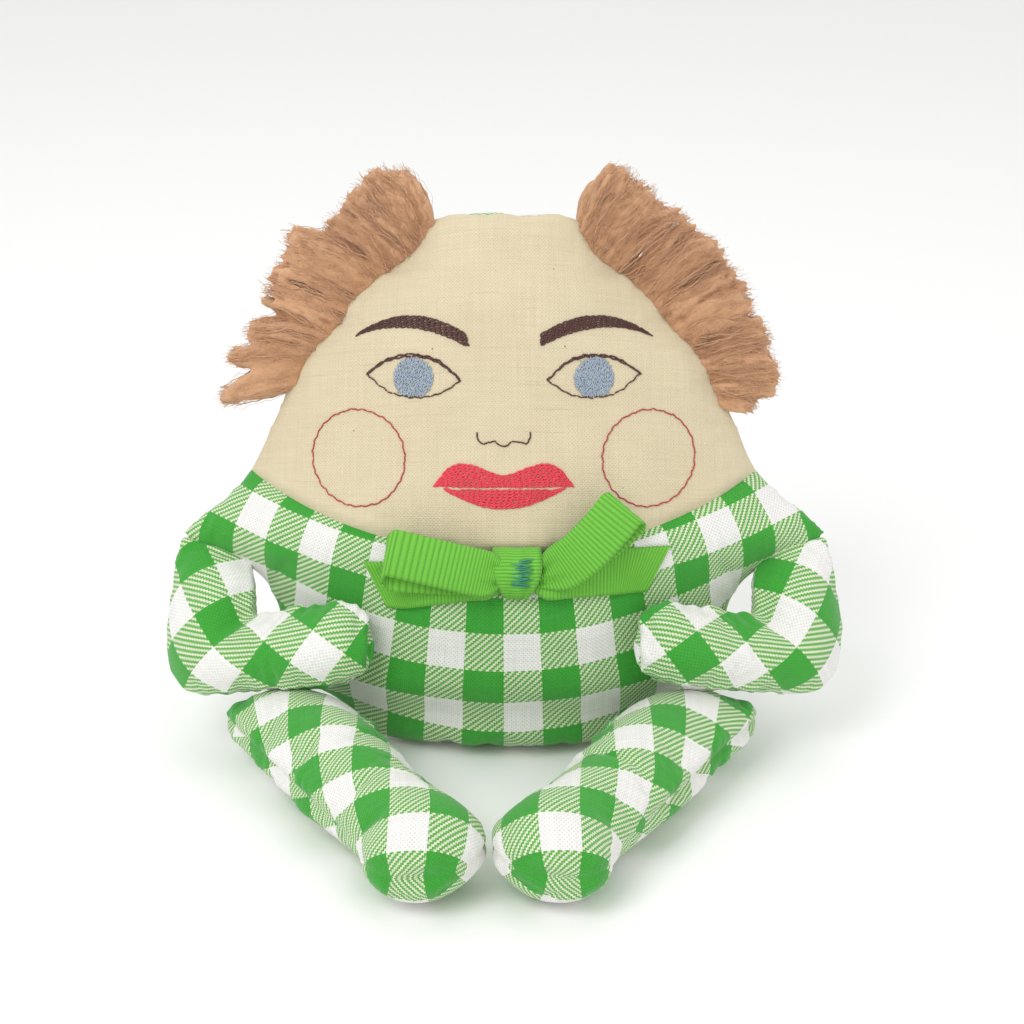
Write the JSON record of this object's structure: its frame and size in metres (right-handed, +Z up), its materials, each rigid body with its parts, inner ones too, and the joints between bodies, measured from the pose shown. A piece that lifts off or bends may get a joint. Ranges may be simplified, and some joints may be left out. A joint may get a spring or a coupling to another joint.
{
  "type": "cloth doll",
  "caption": "Small stuffed cloth doll sitting upright: egg-shaped head and body in one, jointed bent arms and folded legs, yarn hair, ribbon bow and embroidered face.",
  "frame": {"origin": "middle of the flat of the seat, where the side seams meet the surface it sits on", "axes": "+Z up, the doll faces -Y, its own left side is at +X"},
  "size_m": [0.1848, 0.1313, 0.1507],
  "materials": {
    "calico": "matte",
    "gingham": "matte",
    "stuffing": "matte",
    "yarn_hair": "matte",
    "teal_thread": "matte",
    "ribbon": "matte",
    "crimson_thread": "matte",
    "iris_thread": "matte",
    "cheek_thread": "matte",
    "brown_thread": "matte"
  },
  "bodies": {
    "torso": {"torso_stuffing": "stuffing", "back_panel": "gingham", "face_panel": "calico", "waistcoat_panel": "gingham", "nose_outline": "brown_thread", "upper_lip": "crimson_thread", "lower_lip": "crimson_thread", "left_brow": "brown_thread", "left_eye_outline": "brown_thread", "left_iris": "iris_thread", "left_cheek_ring": "cheek_thread", "right_brow": "brown_thread", "right_eye_outline": "brown_thread", "right_iris": "iris_thread", "right_cheek_ring": "cheek_thread", "bow_knot": "ribbon", "bow_left_loop": "ribbon", "bow_right_loop": "ribbon", "bow_left_tail": "ribbon", "bow_right_tail": "ribbon", "bow_tacking_thread": "teal_thread", "left_hair_lock_1": "yarn_hair", "left_hair_lock_2": "yarn_hair", "left_hair_lock_3": "yarn_hair", "left_hair_lock_4": "yarn_hair", "right_hair_lock_1": "yarn_hair", "right_hair_lock_2": "yarn_hair", "right_hair_lock_3": "yarn_hair", "right_hair_lock_4": "yarn_hair", "right_hair_lock_5": "yarn_hair"},
    "left_upper_arm": {"left_upper_arm_front_panel": "gingham", "left_upper_arm_back_panel": "gingham", "left_upper_arm_stuffing": "stuffing"},
    "left_forearm": {"left_forearm_front_panel": "gingham", "left_forearm_back_panel": "gingham", "left_forearm_stuffing": "stuffing"},
    "left_thigh": {"left_thigh_top_panel": "gingham", "left_thigh_under_panel": "gingham", "left_thigh_stuffing": "stuffing"},
    "left_shin": {"left_shin_top_panel": "gingham", "left_shin_under_panel": "gingham", "left_shin_stuffing": "stuffing"},
    "right_upper_arm": {"right_upper_arm_front_panel": "gingham", "right_upper_arm_back_panel": "gingham", "right_upper_arm_stuffing": "stuffing"},
    "right_forearm": {"right_forearm_front_panel": "gingham", "right_forearm_back_panel": "gingham", "right_forearm_stuffing": "stuffing"},
    "right_thigh": {"right_thigh_top_panel": "gingham", "right_thigh_under_panel": "gingham", "right_thigh_stuffing": "stuffing"},
    "right_shin": {"right_shin_top_panel": "gingham", "right_shin_under_panel": "gingham", "right_shin_stuffing": "stuffing"}
  },
  "joints": [
    {"name": "left_shoulder", "type": "hinge", "parent": "torso", "child": "left_upper_arm", "pos_m": [0.0803, 0.01133, 0.04614], "axis": [-1, 0, 0], "range_deg": [0, 45]},
    {"name": "left_elbow", "type": "hinge", "parent": "left_upper_arm", "child": "left_forearm", "pos_m": [0.0803, -0.00293, 0.0277], "axis": [-0.0274, 0.6035, 0.7969], "range_deg": [0, 70]},
    {"name": "left_hip", "type": "hinge", "parent": "torso", "child": "left_thigh", "pos_m": [0.0335, -0.0125, 0.0026], "axis": [1, 0, 0], "range_deg": [0, 80]},
    {"name": "left_knee", "type": "hinge", "parent": "left_thigh", "child": "left_shin", "pos_m": [0.0705, -0.0105, 0.01135], "axis": [0, 0, 1], "range_deg": [0, 60]},
    {"name": "right_shoulder", "type": "hinge", "parent": "torso", "child": "right_upper_arm", "pos_m": [-0.0803, 0.01133, 0.04614], "axis": [-1, 0, 0], "range_deg": [0, 45]},
    {"name": "right_elbow", "type": "hinge", "parent": "right_upper_arm", "child": "right_forearm", "pos_m": [-0.0803, -0.00293, 0.0277], "axis": [-0.0274, -0.6035, -0.7969], "range_deg": [0, 70]},
    {"name": "right_hip", "type": "hinge", "parent": "torso", "child": "right_thigh", "pos_m": [-0.0405, -0.0125, 0.0026], "axis": [1, 0, 0], "range_deg": [0, 80]},
    {"name": "right_knee", "type": "hinge", "parent": "right_thigh", "child": "right_shin", "pos_m": [-0.0775, -0.0105, 0.01135], "axis": [0, 0, -1], "range_deg": [0, 60]}
  ]
}
